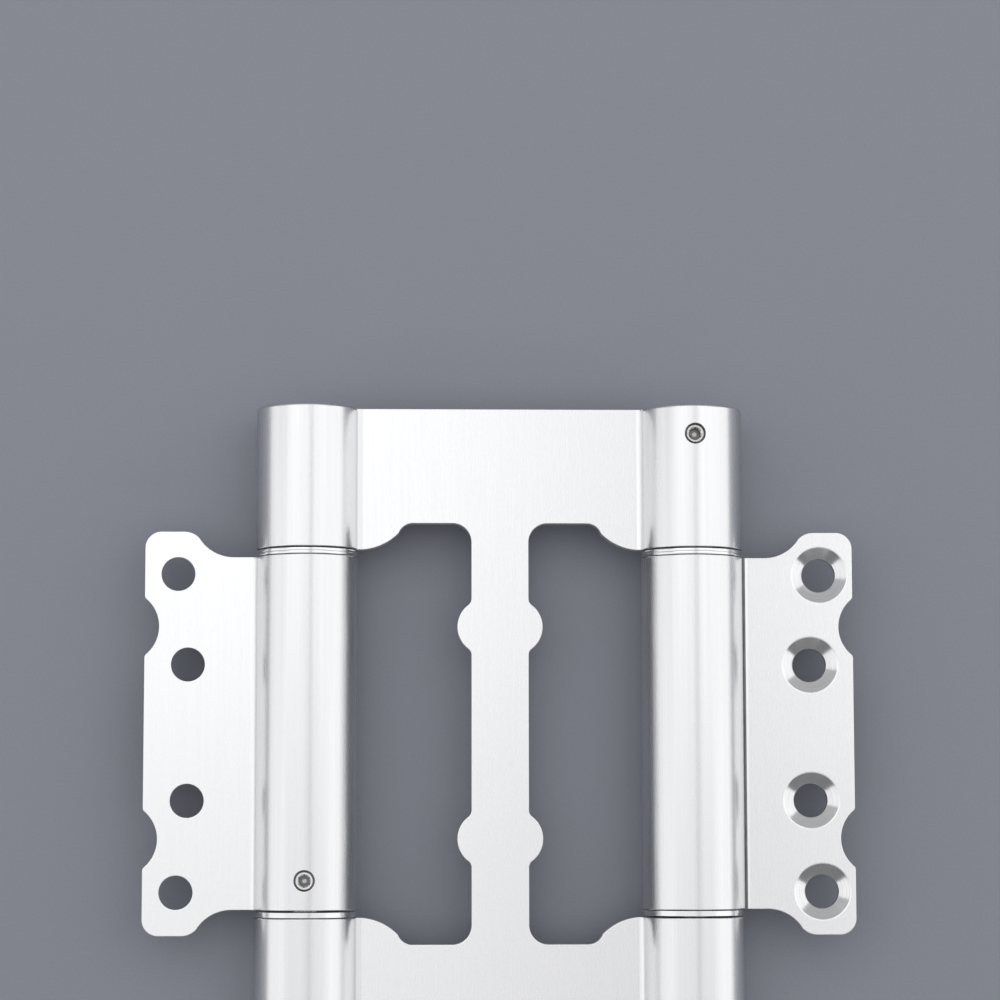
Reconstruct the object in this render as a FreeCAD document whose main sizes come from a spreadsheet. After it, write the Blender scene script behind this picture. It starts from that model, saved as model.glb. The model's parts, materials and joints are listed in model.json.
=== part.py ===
import FreeCAD, Part
import math
import os

import Sketcher

# Double action hinge for a cafe door, lying open and flat, in millimetres.
# X runs across the two barrels, Y along them and Z towards the viewer.
# The origin is the middle of the web, on the plane of the two barrel axes.

Vector = FreeCAD.Vector
Rotation = FreeCAD.Rotation
Placement = FreeCAD.Placement

doc = FreeCAD.newDocument("cafe_hinge")
size_table = doc.addObject("Spreadsheet::Sheet", "sizes")

DRIVING_SIZES = [
    # the two barrels
    ("hinge_length", 127.0, "length of a barrel, end to end"),
    ("barrel_pitch", 75.5, "between the two barrel axes"),
    ("barrel_radius", 10.0, "outside of a knuckle"),
    ("sheet_thickness", 3.0, "the sheet that web and leaves are rolled from"),
    ("knuckle_chamfer", 0.5, "outer edge at the ends of a knuckle"),
    ("middle_knuckle_length", 68.4, "the leaf's knuckle"),
    ("knuckle_gap", 1.5, "between two knuckles, filled by washers"),
    ("leaf_seam_gap", 0.45, "slot where the leaf's roll ends on its own sheet"),
    ("web_seam_gap", 0.15, "the same slot on the web"),
    ("seam_rounding", 0.3, "outer corner of the roll's end"),
    ("root_fillet", 1.2, "bend from the sheet into the roll"),
    # the leaf's outline
    ("shoulder_rise", 5.0, "leaf above the end of its knuckle"),
    ("hollow_flat", 4.2, "straight edge beside the barrel"),
    ("hollow_radius", 8.0, "hollow curve of the leaf's shoulder"),
    ("nose_drop", 1.22, "from the leaf's end down to the nick"),
    ("nose_radius", 4.0, "round nose above the nick"),
    ("leaf_corner", 3.2, "outer corner of a leaf"),
    ("notch_height", 20.6, "notch and bump above the middle"),
    ("notch_depth", 2.8, "notch in the leaf's outer edge"),
    ("notch_radius", 7.0, "notch in the leaf's outer edge"),
    ("notch_rounding", 1.0, "corners of a notch"),
    # the web's outline, cut so that the leaves swing through it
    ("strip_width", 11.2, "centre strip of the web"),
    ("nest_gap", 0.65, "leaf edge to strip when folded in"),
    ("window_gap", 1.7, "leaf end to window when folded in"),
    ("bump_gap", 0.7, "bump to the bottom of its notch"),
    ("bump_radius", 5.4, "bump on the strip"),
    ("bump_rounding", 1.5, "bend from the strip into a bump"),
    ("window_corner", 3.7, "window corner beside the strip"),
    ("lobe_flat", 0.1, "straight edge beside the barrel"),
    ("lobe_radius", 11.0, "round lobe beside the barrel"),
    ("shoulder_drop", 1.95, "from the window's end down to the nick"),
    ("shoulder_radius", 3.0, "hollow corner above the nick"),
    # screw holes of a leaf
    ("screw_hole", 6.5, "diameter of a wood screw hole"),
    ("countersink", 11.0, "diameter of its countersink"),
    ("countersink_angle", 90.0, "degrees"),
    ("outer_hole_inset", 6.5, "end holes, from the leaf's outer edge"),
    ("outer_hole_drop", 8.35, "end holes, from the leaf's end"),
    ("inner_hole_inset", 8.5, "middle holes, from the leaf's outer edge"),
    ("inner_hole_height", 13.2, "middle holes, above the middle"),
    # set screws
    ("set_screw_diameter", 4.0, "M4 thread, drawn plain"),
    ("set_screw_inset", 5.7, "from the end of its knuckle"),
    ("set_screw_recess", 0.4, "below the knuckle's surface"),
    ("set_screw_bite", 0.9, "into the groove of its plug"),
    ("set_screw_edge", 0.3, "chamfer at both ends of a set screw"),
    ("set_screw_key", 2.0, "hex socket across flats"),
    ("set_screw_socket", 1.8, "depth of its hex socket"),
    ("thread_gap", 0.05, "radial, screw in its hole"),
    # washers
    ("washer_inset", 0.2, "washer edge inside the barrel's surface"),
    ("thin_washer", 0.55, "each of the two upper washers"),
    ("thick_washer", 1.0, "the one lower washer"),
    ("washer_float", 0.15, "least gap beside a washer"),
    ("washer_bore_gap", 0.3, "radial, washer round its pin"),
    # tension plug and bottom pivot
    ("plug_gap", 0.05, "radial, plug or bush in its knuckle"),
    ("plug_recess", 0.5, "plug below the barrel's end"),
    ("plug_edge", 0.6, "chamfer at a plug's outer end"),
    ("tension_key", 5.0, "hex socket across flats"),
    ("tension_socket", 8.0, "depth of the hex socket"),
    ("groove_slack", 0.4, "locking groove wider than its screw"),
    ("tip_gap", 0.05, "screw tip above the groove's floor"),
    ("running_gap", 0.07, "radial, pin in its bush"),
    ("neck_gap", 0.8, "radial, plug's neck in the spring"),
    ("neck_end", 10.0, "neck below the upper bush"),
    ("upper_bush_length", 6.0, "bush at the top of the middle knuckle"),
    ("spigot_gap", 0.5, "spigot's tip below the anchor's bore end"),
    ("lower_bush_length", 6.5, "bush in the spring anchor"),
    ("bush_wall", 1.5, "wall of the lower bush"),
    ("anchor_wall", 2.4, "wall of the anchor round the lower bush"),
    ("anchor_recess", 0.2, "anchor inside the knuckle's end"),
    ("anchor_bore_end", 1.0, "anchor's bore beyond the bush"),
    ("anchor_body", 8.8, "length of the anchor's body"),
    ("anchor_boss", 9.0, "length of the anchor's slotted boss"),
    # torsion spring
    ("wire_width", 1.8, "across the coil's wall"),
    ("wire_height", 2.6, "a tang, along the barrel"),
    ("coil_gap", 0.4, "radial, spring in the knuckle's bore"),
    ("spring_end_gap", 1.0, "coil clear of bush and anchor"),
    ("tang_gap", 0.15, "each side of a tang in its slot"),
    ("tang_reach", 3.0, "tang beyond the barrel's axis"),
]

for row, (alias, value, note) in enumerate(DRIVING_SIZES, start=1):
    size_table.set(f"A{row}", alias)
    size_table.set(f"B{row}", str(value))
    size_table.set(f"C{row}", note)
    size_table.setAlias(f"B{row}", alias)
doc.recompute()


class Size:
    """A size that carries its value and the formula that gives it from the driving sizes."""

    def __init__(self, value, formula):
        self.value = value
        self.formula = formula

    def join(self, other, sign, value):
        return Size(value, f"({self.formula} {sign} {as_size(other).formula})")

    def __add__(self, other):
        return self.join(other, "+", self.value + as_size(other).value)

    def __sub__(self, other):
        return self.join(other, "-", self.value - as_size(other).value)

    def __mul__(self, other):
        return self.join(other, "*", self.value * as_size(other).value)

    def __truediv__(self, other):
        return self.join(other, "/", self.value / as_size(other).value)

    def __neg__(self):
        return Size(-self.value, f"(0 - {self.formula})")


def as_size(number):
    return number if isinstance(number, Size) else Size(float(number), str(number))


def leg(slant, side):
    """The other leg of a right triangle with this slant side."""
    square = slant * slant - side * side
    return Size(math.sqrt(square.value), f"sqrt({square.formula})")


def size(alias):
    return Size(float(size_table.get(alias)), f"sizes.{alias}")


def bind(item, target, formula_size):
    """Tie a property of a document object to the driving sizes."""
    item.setExpression(target, formula_size.formula)


# Barrels and sheet
hinge_end = size("hinge_length") / 2
barrel_x = size("barrel_pitch") / 2
barrel_radius = size("barrel_radius")
sheet_thickness = size("sheet_thickness")
sheet_face = sheet_thickness / 2
bore_radius = barrel_radius - sheet_thickness
knuckle_chamfer = size("knuckle_chamfer")
middle_end = size("middle_knuckle_length") / 2
window_start = middle_end + size("knuckle_gap")

# Leaf, as distances from its barrel's axis and from the middle of the hinge
leaf_end = middle_end + size("shoulder_rise")
leaf_reach = barrel_x - size("strip_width") / 2 - size("nest_gap")
hollow_start = barrel_radius + size("hollow_flat")
hollow_radius = size("hollow_radius")
nose_radius = size("nose_radius")
leaf_nick_y = leaf_end - size("nose_drop")
leaf_nick_x = hollow_start + leg(hollow_radius, hollow_radius - (leaf_nick_y - middle_end))
nose_x = leaf_nick_x + leg(nose_radius, nose_radius - size("nose_drop"))
notch_height = size("notch_height")
notch_radius = size("notch_radius")
notch_half = leg(notch_radius, notch_radius - size("notch_depth"))

# Web, whose windows are the leaf's outline plus the clearances
strip_edge = size("strip_width") / 2
window_end = leaf_end + size("window_gap")
lobe_start = barrel_radius + size("lobe_flat")
lobe_radius = size("lobe_radius")
shoulder_radius = size("shoulder_radius")
web_nick_y = window_end - size("shoulder_drop")
web_nick_x = lobe_start + leg(lobe_radius, lobe_radius - (web_nick_y - window_start))
shoulder_x = web_nick_x + leg(shoulder_radius, shoulder_radius - size("shoulder_drop"))
bump_radius = size("bump_radius")
bump_tip = barrel_x - (leaf_reach - size("notch_depth")) - size("bump_gap")
bump_centre = bump_tip - bump_radius
bump_half = leg(bump_radius, strip_edge - bump_centre)

# Holes of a leaf
screw_hole_radius = size("screw_hole") / 2
SCREW_HOLES = [
    (leaf_reach - size("outer_hole_inset"), leaf_end - size("outer_hole_drop")),
    (leaf_reach - size("inner_hole_inset"), size("inner_hole_height")),
]

# Set screws
set_screw_radius = size("set_screw_diameter") / 2
set_screw_inset = size("set_screw_inset")
set_screw_head = barrel_radius - size("set_screw_recess")
set_screw_tip = bore_radius - size("set_screw_bite")
upper_screw_y = hinge_end - set_screw_inset
middle_screw_y = set_screw_inset - middle_end

# Plugs, pins and bushes
plug_radius = bore_radius - size("plug_gap")
plug_end = hinge_end - size("plug_recess")
groove_radius = set_screw_tip - size("tip_gap")
groove_half = set_screw_radius + size("groove_slack") / 2
spring_outer = bore_radius - size("coil_gap")
spring_inner = spring_outer - size("wire_width")
neck_radius = spring_inner - size("neck_gap")
upper_bush_end = middle_end - size("upper_bush_length")
neck_tip = upper_bush_end - size("neck_end")
spring_top = upper_bush_end - size("spring_end_gap")
anchor_end = size("anchor_recess") - middle_end
anchor_top = anchor_end + size("anchor_body")
spring_bottom = anchor_top + size("spring_end_gap")
boss_tip = anchor_top + size("anchor_boss")
slot_half = size("wire_width") / 2 + size("tang_gap")
anchor_bore_radius = plug_radius - size("anchor_wall")
lower_bush_radius = anchor_bore_radius - size("plug_gap")
lower_bush_bore = lower_bush_radius - size("bush_wall")
running_gap = size("running_gap")
spigot_radius = lower_bush_bore - running_gap
lower_bush_end = anchor_end + size("lower_bush_length")
anchor_bore_end = lower_bush_end + size("anchor_bore_end")
spigot_tip = anchor_bore_end - size("spigot_gap")

plug_edge = size("plug_edge")
wire_height = size("wire_height")

# Washers
washer_radius = barrel_radius - size("washer_inset")
upper_washer_bore = neck_radius + size("washer_bore_gap")
lower_washer_bore = spigot_radius + size("washer_bore_gap")
washer_float = size("washer_float")
thin_washer = size("thin_washer")
thick_washer = size("thick_washer")


def new_body(label):
    body = doc.addObject("PartDesign::Body", label)
    body.Label = label
    return body


def origin_plane(body, role):
    return next(item for item in body.Origin.OriginFeatures if item.Role == role)


def new_sketch(body, name, role="XY_Plane"):
    """A sketch on one of the body's own origin planes."""
    sketch = body.newObject("Sketcher::SketchObject", name)
    sketch.AttachmentSupport = [(origin_plane(body, role), "")]
    sketch.MapMode = "FlatFace"
    return sketch


def fix(sketch, kind, where, length):
    """Add one dimension to a sketch and tie it to the driving sizes."""
    length = as_size(length)
    number = sketch.addConstraint(Sketcher.Constraint(kind, *where, length.value))
    if "sizes." in length.formula:
        sketch.setExpression(f"Constraints[{number}]", length.formula)


def place(sketch, geometry, point, x, y):
    """Place one point of the sketch from the sketch's origin."""
    fix(sketch, "DistanceX", (-1, 1, geometry, point), x)
    fix(sketch, "DistanceY", (-1, 1, geometry, point), y)


def bend_centre(start, end, radius, turns_left):
    """Centre of the short arc that leads from start to end."""
    chord = end - start
    height = math.sqrt(radius ** 2 - (chord.Length / 2) ** 2)
    left = Vector(-chord.y, chord.x, 0).normalize()
    return (start + end) / 2 + left * (height if turns_left else -height)


def draw(sketch, path):
    """Draw a closed path of corners (x, y, bend). The bend is the arc to the next corner:
    None for a straight line, else its radius and the way it turns, "left" or "right"."""
    corners = [Vector(as_size(x).value, as_size(y).value, 0) for x, y, _ in path]
    heads = []
    tails = []
    for index, (_, _, bend) in enumerate(path):
        start = corners[index]
        end = corners[(index + 1) % len(path)]
        if bend is None:
            geometry = sketch.addGeometry(Part.LineSegment(start, end))
            head, tail = 1, 2
        else:
            radius, way = bend
            left = way == "left"
            centre = bend_centre(start, end, radius.value, left)
            first, last = (start, end) if left else (end, start)
            circle = Part.Circle(centre, Vector(0, 0, 1), radius.value)
            angles = [math.atan2(p.y - centre.y, p.x - centre.x) for p in (first, last)]
            geometry = sketch.addGeometry(Part.ArcOfCircle(circle, *angles))
            head, tail = (1, 2) if left else (2, 1)
        heads.append((geometry, head))
        tails.append((geometry, tail))
    for index, tail in enumerate(tails):
        head = heads[(index + 1) % len(path)]
        sketch.addConstraint(Sketcher.Constraint("Coincident", *tail, *head))
    for (x, y, bend), head in zip(path, heads):
        place(sketch, *head, x, y)
        if bend is not None:
            fix(sketch, "Radius", (head[0],), bend[0])


def both_halves(upper):
    """Complete a path with its mirror image below the X axis."""
    lower = []
    for index in reversed(range(len(upper))):
        x, y, _ = upper[index]
        lower.append((x, -y, upper[index - 1][2] if index else None))
    return upper + lower


def rectangle(left, bottom, right, top):
    return [(left, bottom, None), (right, bottom, None), (right, top, None), (left, top, None)]


def draw_circle(sketch, x, y, radius):
    centre = Vector(as_size(x).value, as_size(y).value, 0)
    geometry = sketch.addGeometry(Part.Circle(centre, Vector(0, 0, 1), radius.value))
    place(sketch, geometry, 3, x, y)
    fix(sketch, "Radius", (geometry,), radius)


def pad_both_ways(body, sketch, name, length):
    pad = body.newObject("PartDesign::Pad", name)
    pad.Profile = sketch
    pad.SideType = "Symmetric"
    bind(pad, "Length", length)
    return pad


def cut_both_ways(body, sketch, name):
    pocket = body.newObject("PartDesign::Pocket", name)
    pocket.Profile = sketch
    pocket.SideType = "Symmetric"
    pocket.Type = "ThroughAll"
    return pocket


def cut_one_way(body, sketch, name, length, reverse):
    pocket = body.newObject("PartDesign::Pocket", name)
    pocket.Profile = sketch
    pocket.Reversed = reverse
    bind(pocket, "Length", length)
    return pocket


def mirror(body, features, roles, name):
    """Repeat features across one or more of the body's origin planes."""
    copies = body.newObject("PartDesign::MultiTransform", name)
    copies.Originals = features
    steps = []
    for role in roles:
        step = doc.addObject("PartDesign::Mirrored", f"{name}_{role}")
        body.addObject(step)
        step.MirrorPlane = (origin_plane(body, role), [""])
        steps.append(step)
    copies.Transformations = steps
    body.Tip = copies
    return copies


def turn(body, sketch, name):
    """Revolve a sketch about its own vertical axis."""
    revolution = body.newObject("PartDesign::Revolution", name)
    revolution.Profile = sketch
    revolution.ReferenceAxis = (sketch, ["V_Axis"])
    revolution.Angle = 360
    return revolution


def edges_through(shape, spots):
    """Names of the straight edges that pass through any of these points."""
    reach = 0.02
    names = []
    for number, edge in enumerate(shape.Edges, start=1):
        if not isinstance(edge.Curve, Part.Line):
            continue
        if any(edge.distToShape(Part.Vertex(spot))[0] < reach for spot in spots):
            names.append(f"Edge{number}")
    return names


def round_edges(body, name, radius, spots):
    doc.recompute()
    base = body.Tip
    fillet = body.newObject("PartDesign::Fillet", name)
    fillet.Base = (base, edges_through(base.Shape, spots))
    bind(fillet, "Radius", radius)
    return fillet


def knuckle_profile(bottom, top):
    """Half section of a knuckle, with its outer edges broken."""
    return [
        (bore_radius, bottom, None),
        (barrel_radius - knuckle_chamfer, bottom, None),
        (barrel_radius, bottom + knuckle_chamfer, None),
        (barrel_radius, top - knuckle_chamfer, None),
        (barrel_radius - knuckle_chamfer, top, None),
        (bore_radius, top, None),
    ]


def turned_body(label, profile):
    """A piece turned about its own Y axis from a half section of (radius, y) corners."""
    body = new_body(label)
    sketch = new_sketch(body, f"{label}_section")
    draw(sketch, [(radius, y, None) for radius, y in profile])
    turn(body, sketch, f"{label}_turned")
    return body


def hex_corners(across_flats):
    """Corners of a hexagon with two flats facing along its sketch's vertical axis."""
    half_flat = across_flats / 2
    corner = across_flats / math.sqrt(3)
    return [
        (corner, 0, None),
        (corner / 2, half_flat, None),
        (-corner / 2, half_flat, None),
        (-corner, 0, None),
        (-corner / 2, -half_flat, None),
        (corner / 2, -half_flat, None),
    ]


def cut_hex_socket(body, label, end, across_flats, depth):
    """A hexagon socket along the Y axis, from the end face down."""
    sketch = new_sketch(body, f"{label}_hexagon", "XZ_Plane")
    draw(sketch, hex_corners(across_flats))
    bind(sketch, "AttachmentOffset.Base.z", -end)
    cut_one_way(body, sketch, f"{label}_socket", depth, reverse=True)


def cut_tang_slot(body, label, bottom, top):
    """A slot for the spring's tang, across the body along X."""
    sketch = new_sketch(body, f"{label}_slot_outline", "YZ_Plane")
    draw(sketch, rectangle(bottom, -slot_half, top, slot_half))
    cut_both_ways(body, sketch, f"{label}_slot")


def cut_screw_hole(body, label, x, y, to_front):
    """A set screw's hole through the front or the back of one knuckle."""
    sketch = new_sketch(body, f"{label}_place")
    draw_circle(sketch, x, y, set_screw_radius)
    cut_one_way(body, sketch, label, barrel_radius * 2, reverse=to_front)


def root_section(axis_x, toward, face):
    """Section of the hollow bend where a sheet runs into its roll. The sheet leaves the
    barrel towards +X or -X, and the bend is on its front or back face."""
    radius = size("root_fillet")
    centre_height = sheet_face + radius
    centre_x = leg(barrel_radius + radius, centre_height)
    on_barrel = barrel_radius / (barrel_radius + radius)
    middle_of_wall = bore_radius + sheet_thickness / 2
    return [
        (axis_x + centre_x * toward, sheet_face * face, (radius, "right" if toward == face else "left")),
        (axis_x + centre_x * on_barrel * toward, centre_height * on_barrel * face, None),
        (axis_x + middle_of_wall * toward, 0, None),
    ]


def roll_corner(height):
    """How far from the barrel's axis its surface is, at this height above the sheet's middle."""
    return leg(barrel_radius, height)


def stand_in_barrel(body, side):
    """Put a piece in the right barrel, or turned over about Y in the left one."""
    body.Placement = Placement(Vector(), Rotation(Vector(0, 1, 0), 0 if side > 0 else 180))
    bind(body, "Placement.Base.x", barrel_x * side)


# Web: one sheet, an I in outline, rolled at its four corners into knuckles.
# The left barrel's roll ends at the front of the sheet and the right one's at the back.
web = new_body("web")
sketch = new_sketch(web, "web_blank")
draw(sketch, rectangle(-barrel_x, -hinge_end, barrel_x, hinge_end))
pad_both_ways(web, sketch, "web_sheet", sheet_thickness)

sketch = new_sketch(web, "web_root_sections", "XZ_Plane")
for side in (-1, 1):
    draw(sketch, root_section(barrel_x * side, -side, side))
pad_both_ways(web, sketch, "web_roots", size("hinge_length"))

sketch = new_sketch(web, "window_outline")
draw(sketch, both_halves([
    (barrel_x + barrel_radius, window_start, None),
    (barrel_x - lobe_start, window_start, (lobe_radius, "right")),
    (barrel_x - web_nick_x, web_nick_y, (shoulder_radius, "left")),
    (barrel_x - shoulder_x, window_end, None),
    (strip_edge, window_end, None),
    (strip_edge, notch_height + bump_half, (bump_radius, "right")),
    (strip_edge, notch_height - bump_half, None),
]))
window = cut_both_ways(web, sketch, "right_window")
mirror(web, [window], ["YZ_Plane"], "left_window")

window_corners = []
bump_joints = []
for x in (-strip_edge.value, strip_edge.value):
    for up in (-1, 1):
        window_corners.append(Vector(x, up * window_end.value, 0))
        bump_joints.append(Vector(x, up * (notch_height - bump_half).value, 0))
        bump_joints.append(Vector(x, up * (notch_height + bump_half).value, 0))
round_edges(web, "window_corners", size("window_corner"), window_corners)
round_edges(web, "bump_joints", size("bump_rounding"), bump_joints)

sketch = new_sketch(web, "knuckle_section")
draw(sketch, knuckle_profile(window_start, hinge_end))
bind(sketch, "AttachmentOffset.Base.x", barrel_x)
knuckle = turn(web, sketch, "upper_right_knuckle")
mirror(web, [knuckle], ["XZ_Plane", "YZ_Plane"], "other_knuckles")

sketch = new_sketch(web, "web_bore_circles", "XZ_Plane")
for side in (-1, 1):
    draw_circle(sketch, barrel_x * side, 0, bore_radius)
cut_both_ways(web, sketch, "web_bores")

web_seam_top = sheet_face + size("web_seam_gap")
sketch = new_sketch(web, "web_seam_sections", "XZ_Plane")
for side in (-1, 1):
    outside = (barrel_x - barrel_radius) * side
    draw(sketch, rectangle(outside, sheet_face * -side, barrel_x * side, web_seam_top * -side))
cut_both_ways(web, sketch, "web_seams")

seam_edges = []
for side in (-1, 1):
    for up in (-1, 1):
        x = side * (barrel_x - roll_corner(web_seam_top)).value
        y = up * (hinge_end + window_start).value / 2
        seam_edges.append(Vector(x, y, -side * web_seam_top.value))
round_edges(web, "web_seam_corners", size("seam_rounding"), seam_edges)

cut_screw_hole(web, "right_screw_hole", barrel_x, upper_screw_y, to_front=True)
cut_screw_hole(web, "left_screw_hole", -barrel_x, upper_screw_y, to_front=False)


def make_leaf(label, side):
    """A leaf in its right-hand place: the sheet points along +X, and its seam and
    countersinks are at the front. The left leaf is the same piece turned over."""
    leaf = new_body(label)
    sketch = new_sketch(leaf, f"{label}_outline")
    draw(sketch, both_halves([
        (0, middle_end, None),
        (hollow_start, middle_end, (hollow_radius, "left")),
        (leaf_nick_x, leaf_nick_y, (nose_radius, "right")),
        (nose_x, leaf_end, None),
        (leaf_reach, leaf_end, None),
        (leaf_reach, notch_height + notch_half, (notch_radius, "left")),
        (leaf_reach, notch_height - notch_half, None),
    ]))
    pad_both_ways(leaf, sketch, f"{label}_sheet", sheet_thickness)

    corners = []
    notch_corners = []
    for up in (-1, 1):
        corners.append(Vector(leaf_reach.value, up * leaf_end.value, 0))
        notch_corners.append(Vector(leaf_reach.value, up * (notch_height - notch_half).value, 0))
        notch_corners.append(Vector(leaf_reach.value, up * (notch_height + notch_half).value, 0))
    round_edges(leaf, f"{label}_corners", size("leaf_corner"), corners)
    round_edges(leaf, f"{label}_notch_corners", size("notch_rounding"), notch_corners)

    sketch = new_sketch(leaf, f"{label}_root_section", "XZ_Plane")
    draw(sketch, root_section(as_size(0), 1, -1))
    pad_both_ways(leaf, sketch, f"{label}_root", size("middle_knuckle_length"))

    sketch = new_sketch(leaf, f"{label}_knuckle_section")
    draw(sketch, knuckle_profile(-middle_end, middle_end))
    turn(leaf, sketch, f"{label}_knuckle")
    sketch = new_sketch(leaf, f"{label}_bore_circle", "XZ_Plane")
    draw_circle(sketch, 0, 0, bore_radius)
    cut_both_ways(leaf, sketch, f"{label}_bore")

    seam_top = sheet_face + size("leaf_seam_gap")
    sketch = new_sketch(leaf, f"{label}_seam_section", "XZ_Plane")
    draw(sketch, rectangle(0, sheet_face, barrel_radius, seam_top))
    cut_both_ways(leaf, sketch, f"{label}_seam")
    seam_edge = Vector(roll_corner(seam_top).value, 0, seam_top.value)
    round_edges(leaf, f"{label}_seam_corner", size("seam_rounding"), [seam_edge])
    cut_screw_hole(leaf, f"{label}_screw_hole", 0, middle_screw_y, to_front=False)

    sketch = new_sketch(leaf, f"{label}_hole_centres")
    bind(sketch, "AttachmentOffset.Base.z", sheet_face)
    for x, y in SCREW_HOLES:
        draw_circle(sketch, x, y, screw_hole_radius)
        draw_circle(sketch, x, -y, screw_hole_radius)
    doc.recompute()
    hole = leaf.newObject("PartDesign::Hole", f"{label}_countersinks")
    hole.Profile = sketch
    hole.ThreadType = "None"
    hole.DepthType = "ThroughAll"
    hole.HoleCutType = "Countersink"
    bind(hole, "Diameter", size("screw_hole"))
    bind(hole, "HoleCutDiameter", size("countersink"))
    bind(hole, "HoleCutCountersinkAngle", size("countersink_angle"))
    stand_in_barrel(leaf, side)
    return leaf


def make_tension_plug(label, side):
    """Turned plug of the upper knuckle, whose slotted neck turns the spring."""
    plug = turned_body(label, [
        (0, neck_tip),
        (neck_radius, neck_tip),
        (neck_radius, window_start),
        (plug_radius, window_start),
        (plug_radius, upper_screw_y - groove_half),
        (groove_radius, upper_screw_y - groove_half),
        (groove_radius, upper_screw_y + groove_half),
        (plug_radius, upper_screw_y + groove_half),
        (plug_radius, plug_end - plug_edge),
        (plug_radius - plug_edge, plug_end),
        (0, plug_end),
    ])
    cut_hex_socket(plug, label, plug_end, size("tension_key"), size("tension_socket"))
    cut_tang_slot(plug, label, neck_tip - wire_height, spring_top + size("tang_gap"))
    stand_in_barrel(plug, side)


def make_spring_anchor(label, side):
    """Turned plug of the middle knuckle, with the lower bush in its bore. Its set screw
    sits in a dimple, so that the spring can't turn it."""
    anchor = turned_body(label, [
        (anchor_bore_radius, anchor_end),
        (plug_radius, anchor_end),
        (plug_radius, anchor_top),
        (neck_radius, anchor_top),
        (neck_radius, boss_tip),
        (0, boss_tip),
        (0, anchor_bore_end),
        (anchor_bore_radius, anchor_bore_end),
    ])
    cut_tang_slot(anchor, label, spring_bottom - size("tang_gap"), boss_tip + wire_height)

    sketch = new_sketch(anchor, f"{label}_dimple_floor")
    draw_circle(sketch, 0, middle_screw_y, groove_half)
    bind(sketch, "AttachmentOffset.Base.z", -groove_radius)
    cut_one_way(anchor, sketch, f"{label}_dimple", barrel_radius, reverse=False)
    stand_in_barrel(anchor, side)


def make_bottom_pivot(label, side):
    """Plug pressed into the lower knuckle, with the spigot that carries the leaf."""
    pivot = turned_body(label, [
        (0, -plug_end),
        (plug_radius - plug_edge, -plug_end),
        (plug_radius, plug_edge - plug_end),
        (plug_radius, -window_start),
        (spigot_radius, -window_start),
        (spigot_radius, spigot_tip - plug_edge),
        (spigot_radius - plug_edge, spigot_tip),
        (0, spigot_tip),
    ])
    stand_in_barrel(pivot, side)


def ring_section(inner_radius, outer_radius, bottom, top):
    """Half section of a washer, bush or sleeve."""
    return [
        (inner_radius, bottom),
        (outer_radius, bottom),
        (outer_radius, top),
        (inner_radius, top),
    ]


def make_ring(label, side, inner_radius, outer_radius, bottom, top):
    """A washer or bush round the barrel's axis."""
    ring = turned_body(label, ring_section(inner_radius, outer_radius, bottom, top))
    stand_in_barrel(ring, side)


def make_torsion_spring(label, side):
    """Close-wound torsion spring, drawn as the sleeve that its touching turns fill. Its
    tangs cross the barrel's axis."""
    spring = turned_body(label, ring_section(spring_inner, spring_outer, spring_bottom, spring_top))
    middle_of_wire = spring_outer - size("wire_width") / 2
    for end, bottom in (("lower", spring_bottom), ("upper", spring_top - wire_height)):
        sketch = new_sketch(spring, f"{label}_{end}_tang_side")
        draw(sketch, rectangle(-size("tang_reach"), bottom, middle_of_wire, bottom + wire_height))
        pad_both_ways(spring, sketch, f"{label}_{end}_tang", size("wire_width"))
    stand_in_barrel(spring, side)


def make_set_screw(label, side, y, to_front):
    """Set screw, drawn with a plain thread, its socket outwards."""
    edge = size("set_screw_edge")
    length = set_screw_head - set_screw_tip
    radius = set_screw_radius - size("thread_gap")
    screw = turned_body(label, [
        (0, -length),
        (radius - edge, -length),
        (radius, edge - length),
        (radius, -edge),
        (radius - edge, 0),
        (0, 0),
    ])
    cut_hex_socket(screw, label, as_size(0), size("set_screw_key"), size("set_screw_socket"))
    facing = 1 if to_front else -1
    screw.Placement = Placement(Vector(), Rotation(Vector(1, 0, 0), 90 * facing))
    bind(screw, "Placement.Base.x", barrel_x * side)
    bind(screw, "Placement.Base.y", y)
    bind(screw, "Placement.Base.z", set_screw_head * facing)


# What one barrel holds, from its top down. The left barrel is the right one turned over
# about Y, apart from the loose lower washer, which lies lower in the left barrel.
for name, side in (("right", 1), ("left", -1)):
    make_leaf(f"{name}_leaf", side)
    make_set_screw(f"{name}_upper_set_screw", side, upper_screw_y, to_front=side > 0)
    make_tension_plug(f"{name}_tension_plug", side)
    washer_top = window_start - washer_float
    make_ring(f"{name}_upper_washer", side, upper_washer_bore, washer_radius,
              washer_top - thin_washer, washer_top)
    washer_bottom = middle_end + washer_float
    make_ring(f"{name}_middle_washer", side, upper_washer_bore, washer_radius,
              washer_bottom, washer_bottom + thin_washer)
    make_ring(f"{name}_upper_bush", side, neck_radius + running_gap, plug_radius,
              upper_bush_end, middle_end)
    make_torsion_spring(f"{name}_torsion_spring", side)
    make_spring_anchor(f"{name}_spring_anchor", side)
    make_set_screw(f"{name}_lower_set_screw", side, middle_screw_y, to_front=side < 0)
    make_ring(f"{name}_lower_bush", side, lower_bush_bore, lower_bush_radius,
              anchor_end, lower_bush_end)
    washer_top = -middle_end - washer_float if side > 0 else thick_washer - window_start + washer_float
    make_ring(f"{name}_lower_washer", side, lower_washer_bore, washer_radius,
              washer_top - thick_washer, washer_top)
    make_bottom_pivot(f"{name}_bottom_pivot", side)

doc.recompute()

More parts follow.
